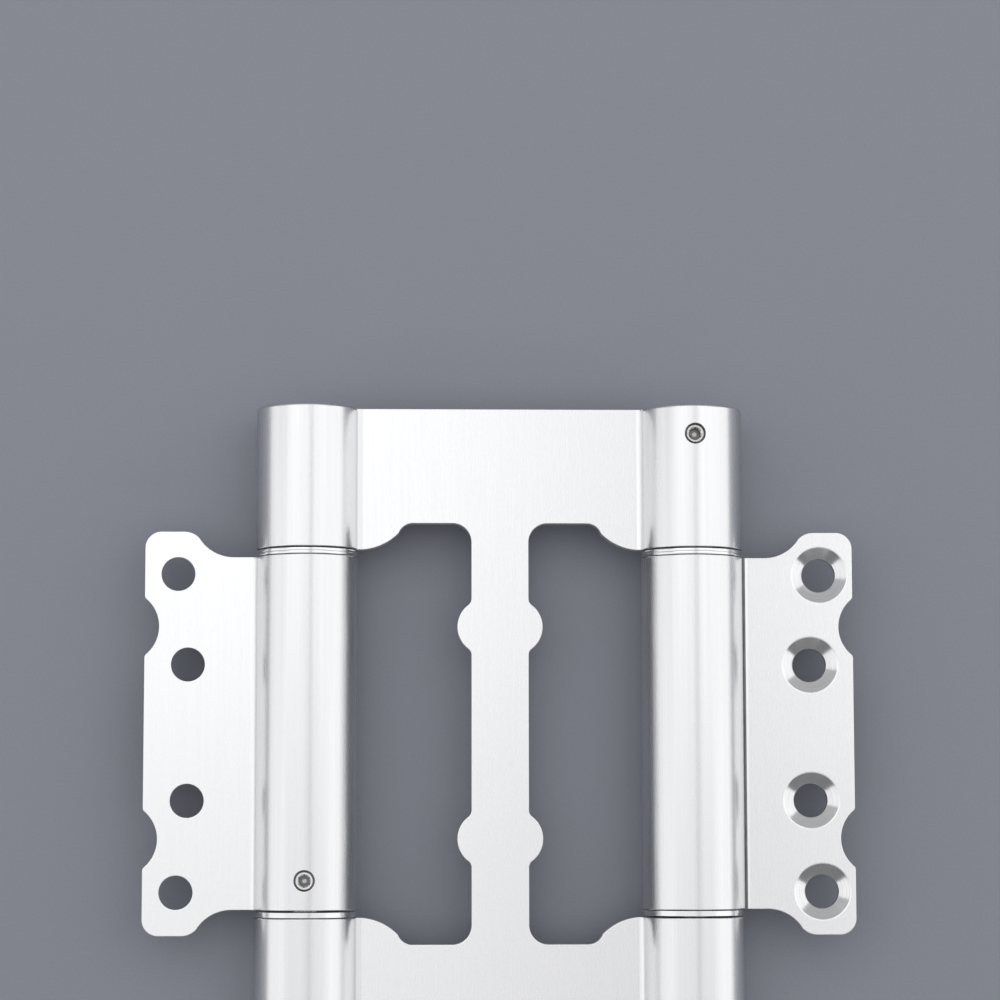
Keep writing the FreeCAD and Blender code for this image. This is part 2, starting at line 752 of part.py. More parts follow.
bodies = [item for item in doc.Objects if item.TypeId == "PartDesign::Body"]
for item in doc.Objects:
    if "Invalid" in item.State or "Error" in item.State:
        raise RuntimeError(f"{item.Name} failed: {item.State}")
for body in bodies:
    if body.Shape.isNull() or not body.Shape.isValid():
        raise RuntimeError(f"{body.Label} has no valid shape")
    if len(body.Shape.Solids) != 1:
        raise RuntimeError(f"{body.Label} is {len(body.Shape.Solids)} solids")

os.makedirs("parts", exist_ok=True)
for body in bodies:
    body.Shape.exportStep(f"parts/{body.Label}.step")
    print(f"{body.Label}: {body.Shape.Volume:.1f} cubic mm")
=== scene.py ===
import json
import math

import bmesh
import bpy
from mathutils import Matrix, Vector

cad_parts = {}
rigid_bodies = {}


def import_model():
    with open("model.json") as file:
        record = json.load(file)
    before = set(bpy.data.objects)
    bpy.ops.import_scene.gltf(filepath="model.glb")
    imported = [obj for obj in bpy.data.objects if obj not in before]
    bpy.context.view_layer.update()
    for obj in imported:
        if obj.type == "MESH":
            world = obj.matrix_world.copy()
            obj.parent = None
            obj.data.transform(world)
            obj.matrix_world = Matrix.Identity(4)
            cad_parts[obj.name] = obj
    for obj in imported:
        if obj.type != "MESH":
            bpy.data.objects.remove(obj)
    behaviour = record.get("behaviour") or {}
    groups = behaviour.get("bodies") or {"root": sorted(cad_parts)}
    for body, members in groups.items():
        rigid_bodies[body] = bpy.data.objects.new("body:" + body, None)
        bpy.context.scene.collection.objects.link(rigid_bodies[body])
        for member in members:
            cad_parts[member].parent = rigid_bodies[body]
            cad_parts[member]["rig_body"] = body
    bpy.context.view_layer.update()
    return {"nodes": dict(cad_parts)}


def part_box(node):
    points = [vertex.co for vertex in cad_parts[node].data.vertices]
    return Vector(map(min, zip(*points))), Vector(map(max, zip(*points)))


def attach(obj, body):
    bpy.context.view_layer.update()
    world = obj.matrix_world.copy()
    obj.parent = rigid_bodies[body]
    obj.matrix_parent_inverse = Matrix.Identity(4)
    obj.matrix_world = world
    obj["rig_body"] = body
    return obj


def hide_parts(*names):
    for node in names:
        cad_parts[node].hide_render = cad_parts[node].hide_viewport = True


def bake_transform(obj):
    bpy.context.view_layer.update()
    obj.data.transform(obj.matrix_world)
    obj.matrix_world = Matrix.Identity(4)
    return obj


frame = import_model()

# The web is one stainless steel sheet, cut to an I shape. Its four corners are rolled into the
# knuckles that hold both barrels together, and its faces are brushed along the hinge. The
# left barrel's roll ends at the front of the sheet and the right barrel's at the back.
MM = 0.001
WELD = 0.01 * MM
JOIN_WELD = 0.04 * MM
LEFTWARDS, RIGHTWARDS = 1, -1
ACROSS, ALONG, UP = Vector((1, 0, 0)), Vector((0, 1, 0)), Vector((0, 0, 1))

web_low, web_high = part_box("web")
hinge_end = web_high.y
barrel_radius = web_high.z
barrel_x = web_high.x - barrel_radius
middle_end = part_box("right_upper_bush")[1].y

SHEET_FACE = 1.5 * MM
KNUCKLE_GAP = 1.5 * MM
BORE_RADIUS = 7.0 * MM
ROOT_FILLET = 1.2 * MM
SEAM_ROUNDING = 0.3 * MM
KNUCKLE_EDGE = 0.5 * MM
GAP_EDGE = 0.2 * MM
EDGE_STEPS = 4
SHEET_EDGE = 0.16 * MM
WEB_SEAM = 0.15 * MM
WEB_TAIL = 10.9 * MM
BEND_START = 11.0 * MM
BEND_RADIUS = 2.5 * MM
STRIP_EDGE = 5.6 * MM
NOTCH_HEIGHT = 20.6 * MM
WINDOW_END = 40.9 * MM
WINDOW_CORNER = 3.7 * MM
LOBE_START = 10.1 * MM
LOBE_RADIUS = 11.0 * MM
SHOULDER_DROP = 1.95 * MM
SHOULDER_RADIUS = 3.0 * MM
BUMP_RADIUS = 5.4 * MM
BUMP_TIP = 8.35 * MM
BUMP_ROUNDING = 1.5 * MM
SCREW_HOLE_RADIUS = 2.0 * MM
SET_SCREW_INSET = 5.7 * MM
TURN_STEPS = 96
DRILL_STEPS = 48
DRILL_REACH = 15 * MM

window_start = middle_end + KNUCKLE_GAP
upper_screw_y = hinge_end - SET_SCREW_INSET


class Pen:
    """Draws an outline in edit mode: one vertex, extruded along straight runs and spun round
    arcs. Places are (across, up) in the pen's own plane."""

    arc_step = math.radians(3)
    least_steps = 5

    def __init__(self, name, across, up, offset, start):
        self.across = across
        self.up = up
        self.normal = across.cross(up)
        self.offset = offset
        self.here = Vector(start)
        bpy.ops.object.select_all(action="DESELECT")
        bpy.ops.mesh.primitive_plane_add(size=MM)
        self.piece = bpy.context.object
        self.piece.name = name
        bpy.ops.object.mode_set(mode="EDIT")
        bpy.ops.mesh.merge(type="CENTER")
        bpy.ops.transform.translate(value=self.point(self.here))

    def point(self, place):
        return self.offset + self.across * place[0] + self.up * place[1]

    def line_to(self, across, up):
        there = Vector((across, up))
        step = self.point(there) - self.point(self.here)
        bpy.ops.mesh.extrude_region_move(TRANSFORM_OT_translate={"value": step})
        self.here = there

    def turn_about(self, centre, angle):
        """Round a centre, to the left for a positive angle."""
        centre = Vector(centre)
        steps = max(self.least_steps, math.ceil(abs(angle) / self.arc_step))
        bpy.ops.mesh.spin(steps=steps, angle=-angle, center=self.point(centre), axis=self.normal)
        self.here = centre + Matrix.Rotation(angle, 2) @ (self.here - centre)

    def arc_to(self, across, up, radius, turn):
        """The short arc of this radius to a place, turning LEFTWARDS or RIGHTWARDS."""
        there = Vector((across, up))
        chord = there - self.here
        height = math.sqrt(radius ** 2 - (chord.length / 2) ** 2)
        left = Vector((-chord.y, chord.x)).normalized()
        centre = (self.here + there) / 2 + left * height * turn
        self.turn_about(centre, turn * 2 * math.asin(chord.length / 2 / radius))

    def extrude(self, step):
        """Fills the closed outline with a face and gives it its thickness."""
        bpy.ops.mesh.select_all(action="SELECT")
        bpy.ops.mesh.remove_doubles(threshold=WELD)
        bpy.ops.mesh.edge_face_add()
        bpy.ops.mesh.extrude_region_move(TRANSFORM_OT_translate={"value": step})
        bpy.ops.mesh.select_all(action="SELECT")
        bpy.ops.mesh.normals_make_consistent(inside=False)
        bpy.ops.object.mode_set(mode="OBJECT")
        return self.piece


def only(piece):
    """Makes this the one selected and active object."""
    bpy.ops.object.select_all(action="DESELECT")
    piece.select_set(True)
    bpy.context.view_layer.objects.active = piece


def edit(piece):
    """Goes into edit mode with nothing selected."""
    only(piece)
    bpy.ops.object.mode_set(mode="EDIT")
    bpy.ops.mesh.select_all(action="DESELECT")


def select_faces(piece, wanted):
    """In edit mode, selects the faces whose centre and normal are wanted."""
    mesh = bmesh.from_edit_mesh(piece.data)
    for face in mesh.faces:
        if wanted(face.calc_center_median(), face.normal):
            face.select_set(True)
    bmesh.update_edit_mesh(piece.data)


def select_edges(piece, wanted):
    """In edit mode, selects the edges whose two ends are wanted."""
    mesh = bmesh.from_edit_mesh(piece.data)
    for edge in mesh.edges:
        if wanted(*(vertex.co for vertex in edge.verts)):
            edge.select_set(True)
    bmesh.update_edit_mesh(piece.data)


SQUARE_ON = 0.999


def open_side(piece, direction, distance):
    """Takes off the flat side that faces this way at this distance, where a piece is joined on."""
    def on_side(centre, normal):
        faces_it = abs(normal.dot(direction)) > SQUARE_ON
        return faces_it and abs(centre.dot(direction) - distance) < WELD

    edit(piece)
    select_faces(piece, on_side)
    bpy.ops.mesh.delete(type="ONLY_FACE")
    bpy.ops.object.mode_set(mode="OBJECT")


def weld(piece):
    """Merges the vertices where parts meet and turns every face outwards."""
    edit(piece)
    bpy.ops.mesh.select_all(action="SELECT")
    bpy.ops.mesh.remove_doubles(threshold=JOIN_WELD)
    bpy.ops.mesh.delete_loose(use_verts=True, use_edges=True)
    bpy.ops.mesh.select_all(action="SELECT")
    bpy.ops.mesh.normals_make_consistent(inside=False)
    bpy.ops.object.mode_set(mode="OBJECT")


def join(piece, *others):
    """Joins the others to the piece along the edges where they meet."""
    only(piece)
    for other in others:
        other.select_set(True)
    bpy.ops.object.join()
    weld(piece)


def apply_modifier(piece, kind, **settings):
    """Puts a modifier with these settings on the piece and applies it."""
    only(piece)
    modifier = piece.modifiers.new(kind.lower(), kind)
    for name, value in settings.items():
        setattr(modifier, name, value)
    bpy.ops.object.modifier_apply(modifier=modifier.name)


def cut(piece, cutter):
    """Takes a cutter's shape out of the piece."""
    apply_modifier(piece, "BOOLEAN", operation="DIFFERENCE", solver="EXACT", object=cutter)
    bpy.data.objects.remove(cutter)


def copy_of(piece, name):
    """A second piece with a mesh of its own."""
    twin = piece.copy()
    twin.data = piece.data.copy()
    twin.name = name
    bpy.context.scene.collection.objects.link(twin)
    return twin


def stand(piece, x, turned_over=False):
    """Moves a piece across to its barrel, if need be turned over about the barrel's axis."""
    only(piece)
    piece.rotation_euler.y = math.pi if turned_over else 0
    piece.location.x = x
    bpy.ops.object.transform_apply(location=True, rotation=True, scale=True)


def turned(name, corners, along=ALONG, steps=TURN_STEPS):
    """A solid turned about an axis through the origin, from (radius, place along) corners."""
    pen = Pen(name, ACROSS, along, Vector(), corners[0])
    for corner in corners[1:]:
        pen.line_to(*corner)
    if corners[0][0] > 0:
        pen.line_to(*corners[0])
    bpy.ops.mesh.select_all(action="SELECT")
    bpy.ops.mesh.spin(steps=steps, angle=math.tau, center=(0, 0, 0), axis=along)
    bpy.ops.object.mode_set(mode="OBJECT")
    weld(pen.piece)
    return pen.piece


SHARP_ANGLE = math.radians(32)
CREASE_ANGLE = math.radians(40)
FLAT_WEIGHT = 80


def break_edges(piece, width):
    """Breaks the sharp edges and leaves flat faces flat between them."""
    apply_modifier(piece, "BEVEL", width=width, segments=2, limit_method="ANGLE",
                   angle_limit=SHARP_ANGLE, use_clamp_overlap=False)
    smooth(piece)


def smooth(piece):
    """Shades round surfaces round and flat faces flat."""
    only(piece)
    bpy.ops.object.shade_smooth_by_angle(angle=CREASE_ANGLE)
    apply_modifier(piece, "WEIGHTED_NORMAL", mode="FACE_AREA", weight=FLAT_WEIGHT, keep_sharp=True)


def stands_for(piece, part):
    """The piece takes the place of a part of the frame, on its body."""
    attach(piece, frame["nodes"][part]["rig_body"])
    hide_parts(part)


def roll(name, tail, seam_gap, bend, bottom, top):
    """A knuckle about the origin, rolled from a sheet that leaves it towards +X, with the
    roll's end at the front. Where the sheet's front bends down into the seam, bend is its
    angle. The tail is left open to be joined to the flat sheet."""
    seam_top = SHEET_FACE + seam_gap
    corner_height = seam_top + SEAM_ROUNDING
    corner_x = math.sqrt((barrel_radius - SEAM_ROUNDING) ** 2 - corner_height ** 2)
    corner_angle = math.atan2(corner_height, corner_x)
    root_height = SHEET_FACE + ROOT_FILLET
    root_x = math.sqrt((barrel_radius + ROOT_FILLET) ** 2 - root_height ** 2)
    root_angle = math.atan2(root_height, root_x)

    pen = Pen(name, ACROSS, UP, ALONG * bottom, (tail, SHEET_FACE))
    if bend:
        pen.line_to(BEND_START, SHEET_FACE)
        pen.turn_about((BEND_START, SHEET_FACE - BEND_RADIUS), bend)
    heading = Vector((-math.cos(bend), -math.sin(bend)))
    towards = pen.here.dot(heading)
    run = -towards - math.sqrt(towards ** 2 - pen.here.length_squared + BORE_RADIUS ** 2)
    pen.line_to(*(pen.here + heading * run))
    sheet_in_bore = math.atan2(pen.here.y, pen.here.x)
    pen.turn_about((0, 0), math.asin(seam_top / BORE_RADIUS) - sheet_in_bore - math.tau)
    pen.line_to(corner_x, seam_top)
    pen.turn_about((corner_x, corner_height), math.pi / 2 + corner_angle)
    pen.turn_about((0, 0), math.tau - root_angle - corner_angle)
    pen.turn_about((root_x, -root_height), root_angle - math.pi / 2)
    pen.line_to(tail, -SHEET_FACE)
    knuckle = pen.extrude(ALONG * (top - bottom))

    def on_rim(at, end):
        """True for a place at this end on the barrel's outside or on the roll's rounded corner."""
        on_barrel = abs(math.hypot(at.x, at.z) - barrel_radius) < WELD
        on_corner = abs(math.hypot(at.x - corner_x, at.z - corner_height) - SEAM_ROUNDING) < WELD
        return abs(at.y - end) < WELD and (on_barrel or on_corner)

    for end in (bottom, top):
        if end > 0:
            edit(knuckle)
            select_edges(knuckle, lambda *places: all(on_rim(at, end) for at in places))
            width = KNUCKLE_EDGE if end == hinge_end else GAP_EDGE
            bpy.ops.mesh.bevel(offset=width, segments=EDGE_STEPS, profile=0.5, clamp_overlap=False)
            bpy.ops.object.mode_set(mode="OBJECT")
    open_side(knuckle, ACROSS, tail)
    return knuckle


def draw_nesting_edge(pen, nick, hollow_radius, shoulder_x, shoulder_radius, reach, end, corner,
                      notch_x, notch_radius, rounding):
    """From the roll out to the nick, round the corner and down past the notch to the middle.
    The leaf's edge and the web's window have the same run of curves, so that they nest."""
    pen.arc_to(*nick, hollow_radius, LEFTWARDS)
    pen.arc_to(shoulder_x, end, shoulder_radius, RIGHTWARDS)
    pen.line_to(reach - corner, end)
    pen.arc_to(reach, end - corner, corner, RIGHTWARDS)
    rounding_x = reach - rounding
    rise = math.sqrt((notch_radius + rounding) ** 2 - (notch_x - rounding_x) ** 2)
    share = notch_radius / (notch_radius + rounding)
    meet_x = notch_x + (rounding_x - notch_x) * share
    pen.line_to(reach, NOTCH_HEIGHT + rise)
    pen.arc_to(meet_x, NOTCH_HEIGHT + rise * share, rounding, RIGHTWARDS)
    pen.arc_to(meet_x, NOTCH_HEIGHT - rise * share, notch_radius, LEFTWARDS)
    pen.arc_to(reach, NOTCH_HEIGHT - rise, rounding, RIGHTWARDS)
    pen.line_to(reach, 0)


def complete(sheet, knuckle, tail):
    """Joins a quarter of flat sheet to its knuckle and completes it below the middle."""
    open_side(sheet, ACROSS, tail)
    join(sheet, knuckle)
    open_side(sheet, ALONG, 0)
    apply_modifier(sheet, "MIRROR", use_axis=(False, True, False), merge_threshold=WELD)
    weld(sheet)


def drill_screw_hole(piece, x, y, to_front):
    """Drills a set screw's hole through the front or the back of one knuckle."""
    length = DRILL_REACH if to_front else -DRILL_REACH
    profile = [(0, 0), (SCREW_HOLE_RADIUS, 0), (SCREW_HOLE_RADIUS, length), (0, length)]
    drill = turned("drill", profile, along=UP, steps=DRILL_STEPS)
    drill.location = (x, y, 0)
    cut(piece, drill)


def make_web():
    """One half, from the left barrel to the middle, and its turned-over twin."""
    window_reach = barrel_x - STRIP_EDGE
    nick_y = WINDOW_END - SHOULDER_DROP
    nick_x = LOBE_START + math.sqrt(LOBE_RADIUS ** 2 - (LOBE_RADIUS - nick_y + window_start) ** 2)
    shoulder_x = nick_x + math.sqrt(SHOULDER_RADIUS ** 2 - (SHOULDER_RADIUS - SHOULDER_DROP) ** 2)
    pen = Pen("web_sheet", ACROSS, ALONG, UP * -SHEET_FACE, (WEB_TAIL, window_start))
    draw_nesting_edge(pen, (nick_x, nick_y), LOBE_RADIUS, shoulder_x, SHOULDER_RADIUS, window_reach,
                      WINDOW_END, WINDOW_CORNER, barrel_x - BUMP_TIP + BUMP_RADIUS, BUMP_RADIUS,
                      BUMP_ROUNDING)
    pen.line_to(barrel_x, 0)
    pen.line_to(barrel_x, hinge_end)
    pen.line_to(WEB_TAIL, hinge_end)
    sheet = pen.extrude(UP * SHEET_FACE * 2)
    open_side(sheet, ACROSS, barrel_x)
    knuckle = roll("web_roll", WEB_TAIL, WEB_SEAM, 0, window_start, hinge_end)
    complete(sheet, knuckle, WEB_TAIL)
    twin = copy_of(sheet, "web_twin")
    stand(sheet, -barrel_x)
    stand(twin, barrel_x, turned_over=True)
    join(sheet, twin)
    drill_screw_hole(sheet, barrel_x, upper_screw_y, to_front=True)
    drill_screw_hole(sheet, -barrel_x, upper_screw_y, to_front=False)
    break_edges(sheet, SHEET_EDGE)
    return sheet


def node(tree, kind, inputs=None, **settings):
    """Adds one shader node. An input is a plain value or the output that feeds it."""
    made = tree.nodes.new(kind)
    for name, value in settings.items():
        setattr(made, name, value)
    for name, value in (inputs or {}).items():
        if isinstance(value, bpy.types.NodeSocket):
            tree.links.new(value, made.inputs[name])
        else:
            made.inputs[name].default_value = value
    return made


def arithmetic(tree, kind, *numbers):
    """One step of arithmetic on one or two numbers."""
    return node(tree, "ShaderNodeMath", dict(enumerate(numbers)), operation=kind).outputs[0]


def grain(tree, sizes, detail=2.0):
    """Noise from 0 to 1 whose grains have these sizes along X, Y and Z."""
    place = node(tree, "ShaderNodeTexCoord").outputs["Object"]
    scale = [1 / size for size in sizes]
    stretched = node(tree, "ShaderNodeMapping", {"Vector": place, "Scale": scale})
    noise = node(tree, "ShaderNodeTexNoise",
                 {"Vector": stretched.outputs[0], "Scale": 1.0, "Detail": detail})
    return noise.outputs["Fac"]


def two_grains(tree, fine, broad, fine_share):
    """A fine grain over a broad one, as one pattern from 0 to 1."""
    return arithmetic(tree, "ADD", arithmetic(tree, "MULTIPLY", fine, fine_share),
                      arithmetic(tree, "MULTIPLY", broad, 1 - fine_share))


NOISE_LOW, NOISE_HIGH = 0.25, 0.75


def spread(tree, pattern, ends):
    """A pattern of noise, spread out between two values."""
    low, high = ends
    return node(tree, "ShaderNodeMapRange",
                {"Value": pattern, "From Min": NOISE_LOW, "From Max": NOISE_HIGH,
                 "To Min": low, "To Max": high}).outputs["Result"]


def tinted(tree, colour, shade):
    """A colour made darker or lighter by a shade."""
    tint = node(tree, "ShaderNodeVectorMath", {0: colour, "Scale": shade}, operation="SCALE")
    return tint.outputs["Vector"]


def metal(name, colour, pattern, shade, roughness, depth, grazing=(1, 1, 1, 1)):
    """A metal with one pattern in its colour, its roughness and its relief of this depth. Shade
    and roughness are their values in the pattern's hollows and on its ridges."""
    material = bpy.data.materials.new(name)
    material.use_nodes = True
    tree = material.node_tree
    surface = tree.nodes["Principled BSDF"]
    surface.inputs["Metallic"].default_value = 1.0
    surface.inputs["Specular Tint"].default_value = grazing
    height = pattern(tree)
    tree.links.new(spread(tree, height, roughness), surface.inputs["Roughness"])
    tree.links.new(tinted(tree, colour, spread(tree, height, shade)), surface.inputs["Base Color"])
    relief = node(tree, "ShaderNodeBump", {"Height": height, "Distance": depth, "Strength": 1.0})
    tree.links.new(relief.outputs["Normal"], surface.inputs["Normal"])
    return material


STAINLESS = (0.84, 0.845, 0.85)
ROLLED_GRAZING = (0.8, 0.8, 0.81, 1)
HAIR_LINES = (0.16 * MM, 14 * MM, 0.16 * MM)
STREAKS = (1.1 * MM, 60 * MM, 1.1 * MM)
HAIR_SHARE = 0.7
GROUND_LINES = (0.22 * MM, 40 * MM, 0.22 * MM)
GROUND_BANDS = (1.6 * MM, 160 * MM, 1.6 * MM)
LINE_SHARE = 0.4
CUTTING_LINES = (0.18 * MM, 0.18 * MM, 9 * MM)


def brushing(tree):
    """Hair-fine lines along the hinge and a few broader streaks."""
    hairs = grain(tree, HAIR_LINES, detail=3.0)
    return two_grains(tree, hairs, grain(tree, STREAKS), HAIR_SHARE)


def grinding(tree):
    """Long soft lines along the knuckles, which are ground smoother than the flat sheet."""
    return two_grains(tree, grain(tree, GROUND_LINES), grain(tree, GROUND_BANDS), LINE_SHARE)


def cutting(tree):
    """Fine lines across the sheet's thickness, on its cut edges."""
    return grain(tree, CUTTING_LINES)


# The brushed sheet and the rolled knuckles are one stainless. Their lines are real, but the sheet's
# colour is raised as painted light and the knuckles' colour lowered as painted shade, to set their
# brightness under the lamps.
BRUSHED_AND_LIT = metal("brushed_stainless_painted_light", STAINLESS, brushing, shade=(1.02, 1.045),
                roughness=(0.3, 0.25), depth=0.0025 * MM)
ROLLED_AND_SHADED = metal("rolled_stainless_painted_shade", STAINLESS, grinding, shade=(0.91, 0.97),
               roughness=(0.31, 0.23), depth=0.0025 * MM, grazing=ROLLED_GRAZING)
CUT = metal("cut_stainless", STAINLESS, cutting, shade=(0.84, 0.92),
            roughness=(0.48, 0.38), depth=0.008 * MM)

ROLLED_FACE, CUT_FACE = 1, 2
ROLL_REACH = barrel_radius * 1.02
END_NORMAL = 0.9
EDGE_NORMAL = 0.5


def finish_sheet(piece, axes):
    """Gives the flat faces, the rolls about these axes and the cut edges their finishes."""
    for finish in (BRUSHED_AND_LIT, ROLLED_AND_SHADED, CUT):
        piece.data.materials.append(finish)
    for face in piece.data.polygons:
        from_axis = min(math.hypot(face.center.x - x, face.center.z) for x in axes)
        if from_axis < ROLL_REACH and abs(face.normal.y) < END_NORMAL:
            face.material_index = ROLLED_FACE
        elif abs(face.normal.z) < EDGE_NORMAL:
            face.material_index = CUT_FACE


web = make_web()
finish_sheet(web, (-barrel_x, barrel_x))
stands_for(web, "web")

# A leaf is screwed to the door or to its post. It is cut from the same sheet and rolled into
# the long middle knuckle between the web's two, and its outline nests in the web's window when
# it is folded in. The left leaf is the right one turned over, so its countersinks are behind.
LEAF_SEAM = 0.45 * MM
LEAF_BEND = math.radians(20)
LEAF_TAIL = 14.2 * MM
HOLLOW_RADIUS = 8.0 * MM
NOSE_DROP = 1.22 * MM
NOSE_RADIUS = 4.0 * MM
LEAF_CORNER = 3.2 * MM
NOTCH_DEPTH = 2.8 * MM
NOTCH_RADIUS = 7.0 * MM
NOTCH_ROUNDING = 1.0 * MM
WOOD_SCREW_RADIUS = 3.25 * MM
COUNTERSINK_RADIUS = 5.5 * MM
CONE_SLOPE = math.radians(35)
CONE_STEPS = 72
OUTER_HOLE_INSET = 6.5 * MM
OUTER_HOLE_DROP = 8.35 * MM
INNER_HOLE_INSET = 8.5 * MM
INNER_HOLE_HEIGHT = 13.2 * MM
SEAM_MOUTH = 10.54 * MM
SIDES = (("right", 1), ("left", -1))

leaf_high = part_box("right_leaf")[1]
leaf_end = leaf_high.y
leaf_reach = leaf_high.x - barrel_x
outer_hole = (leaf_reach - OUTER_HOLE_INSET, leaf_end - OUTER_HOLE_DROP)
inner_hole = (leaf_reach - INNER_HOLE_INSET, INNER_HOLE_HEIGHT)
lower_screw_y = SET_SCREW_INSET - middle_end


def countersink(piece, x, y):
    """A wood screw's hole with its cone at the front of the sheet."""
    cone_floor = SHEET_FACE - (COUNTERSINK_RADIUS - WOOD_SCREW_RADIUS) * math.tan(CONE_SLOPE)
    above = SHEET_FACE * 2
    above_radius = WOOD_SCREW_RADIUS + (above - cone_floor) / math.tan(CONE_SLOPE)
    profile = [(0, -above), (WOOD_SCREW_RADIUS, -above), (WOOD_SCREW_RADIUS, cone_floor),
               (above_radius, above), (0, above)]
    drill = turned("countersink", profile, along=UP, steps=CONE_STEPS)
    drill.location = (x, y, 0)
    cut(piece, drill)


def make_leaf(name):
    """The right leaf, about its barrel's axis."""
    nick_y = leaf_end - NOSE_DROP
    nick_x = LEAF_TAIL + math.sqrt(HOLLOW_RADIUS ** 2 - (HOLLOW_RADIUS - nick_y + middle_end) ** 2)
    nose_x = nick_x + math.sqrt(NOSE_RADIUS ** 2 - (NOSE_RADIUS - NOSE_DROP) ** 2)
    pen = Pen(name, ACROSS, ALONG, UP * -SHEET_FACE, (LEAF_TAIL, middle_end))
    draw_nesting_edge(pen, (nick_x, nick_y), HOLLOW_RADIUS, nose_x, NOSE_RADIUS, leaf_reach, leaf_end,
                      LEAF_CORNER, leaf_reach - NOTCH_DEPTH + NOTCH_RADIUS, NOTCH_RADIUS,
                      NOTCH_ROUNDING)
    pen.line_to(LEAF_TAIL, 0)
    sheet = pen.extrude(UP * SHEET_FACE * 2)
    complete(sheet, roll("leaf_roll", LEAF_TAIL, LEAF_SEAM, LEAF_BEND, 0, middle_end), LEAF_TAIL)
    for x, y in (outer_hole, inner_hole):
        countersink(sheet, x, y)
        countersink(sheet, x, -y)
    drill_screw_hole(sheet, 0, lower_screw_y, to_front=False)
    break_edges(sheet, SHEET_EDGE)
    return sheet


CONE_RINGS = (5 * MM, 5 * MM, 0.07 * MM)
SEAM_SHADE_GRAIN = (0.5 * MM, 4 * MM, 0.5 * MM)
# Painted shade: a dark grey steel for the mouth of the roll's seam, standing in for the shadow in the
# gap.
SEAM_SHADE_COLOUR = (0.33, 0.33, 0.34)


def countersinking(tree):
    """The fine rings that the countersink's edge leaves down the cone."""
    return grain(tree, CONE_RINGS)


def seam_shade_blotches(tree):
    """Blotches in the painted shade inside the roll's seam's mouth, where the gap's shadow falls."""
    return grain(tree, SEAM_SHADE_GRAIN, detail=4.0)


COUNTERSUNK = metal("countersunk_stainless", STAINLESS, countersinking, shade=(0.82, 1.0),
                    roughness=(0.24, 0.14), depth=0.004 * MM)
# The seam's material is painted shade: dark, dull steel where the gap between the roll's end and the
# sheet lies in shadow.
SEAM_SHADE_STEEL = metal("seam_painted_shade", SEAM_SHADE_COLOUR, seam_shade_blotches, shade=(0.8, 1.2),
                 roughness=(0.6, 0.45), depth=0.01 * MM)

CONE_FACE, SEAM_SHADE_FACE = 3, 4
LOW_CONE_NORMAL, HIGH_CONE_NORMAL = 0.6, 0.9


def finish_cones(leaf):
    """Gives the countersinks' cones their finish."""
    leaf.data.materials.append(COUNTERSUNK)
    for face in leaf.data.polygons:
        place = Vector((abs(face.center.x) - barrel_x, abs(face.center.y)))
        nearest = min((place - Vector(hole)).length for hole in (outer_hole, inner_hole))
        slopes = LOW_CONE_NORMAL < abs(face.normal.z) < HIGH_CONE_NORMAL
        if WOOD_SCREW_RADIUS < nearest < COUNTERSINK_RADIUS and slopes:
            face.material_index = CONE_FACE


def paint_seam_shade(leaf, side):
    """Paints shade on the seam's mouth, on the side where the roll ends: darker steel where the gap's
    shadow falls.
    """
    leaf.data.materials.append(SEAM_SHADE_STEEL)
    for face in leaf.data.polygons:
        across, up = abs(face.center.x) - barrel_x, face.center.z * side
        in_mouth = across > 0 and BORE_RADIUS + WELD < math.hypot(across, up) < SEAM_MOUTH
        in_slot = 0 < up < SHEET_FACE + LEAF_SEAM + WELD
        if in_mouth and in_slot and abs(face.normal.y) < END_NORMAL:
            face.material_index = SEAM_SHADE_FACE


for name, side in SIDES:
    leaf = make_leaf(f"{name}_leaf_sheet")
    stand(leaf, barrel_x * side, turned_over=side < 0)
    finish_sheet(leaf, (barrel_x * side,))
    finish_cones(leaf)
    paint_seam_shade(leaf, side)
    stands_for(leaf, f"{name}_leaf")

# Loose washers fill the gaps between the knuckles: two thin ones above each leaf's knuckle and
# one thicker one below it. They are stamped from stainless strip and tumbled bright. The upper
# two have slid down on the leaf, which leaves most of their play above them.
WASHER_EDGE = 0.03 * MM
UPPER_SLIDE = 0.1 * MM
MIDDLE_SLIDE = 0.02 * MM


def turning_lines(tree, spacing):
    """Rings left by a lathe's tool, round the barrel's axis on sides and end faces alike. They
    follow the distance from the axis of the barrel on the point's own side."""
    place = node(tree, "ShaderNodeTexCoord").outputs["Object"]
    parts = node(tree, "ShaderNodeSeparateXYZ", {0: place}).outputs
    from_middle = arithmetic(tree, "ABSOLUTE", parts["X"])
    across = arithmetic(tree, "SUBTRACT", from_middle, barrel_x)
    across_squared = arithmetic(tree, "MULTIPLY", across, across)
    up_squared = arithmetic(tree, "MULTIPLY", parts["Z"], parts["Z"])
    distance = arithmetic(tree, "SQRT", arithmetic(tree, "ADD", across_squared, up_squared))
    travel = arithmetic(tree, "ADD", distance, parts["Y"])
    rings = arithmetic(tree, "MULTIPLY", travel, 1 / spacing)
    return node(tree, "ShaderNodeTexNoise", {"W": rings, "Scale": 1.0, "Detail": 3.0},
                noise_dimensions="1D").outputs["Fac"]


def turned_metal(name, colour, roughness, spacing, depth):
    """A metal turned on a lathe, with its tool's marks this far apart."""
    return metal(name, colour, lambda tree: turning_lines(tree, spacing), shade=(0.94, 1.02),
                 roughness=roughness, depth=depth)


WASHER_STEEL = turned_metal("tumbled_washer", STAINLESS, roughness=(0.26, 0.16), spacing=0.12 * MM,
                            depth=0.002 * MM)


def ring_like(name, node_name, inner_radius):
    """A ring as large as its node, with this bore."""
    low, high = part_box(node_name)
    outer_radius = (high.z - low.z) / 2
    return turned(name, [(inner_radius, low.y), (outer_radius, low.y), (outer_radius, high.y),
                         (inner_radius, high.y)])


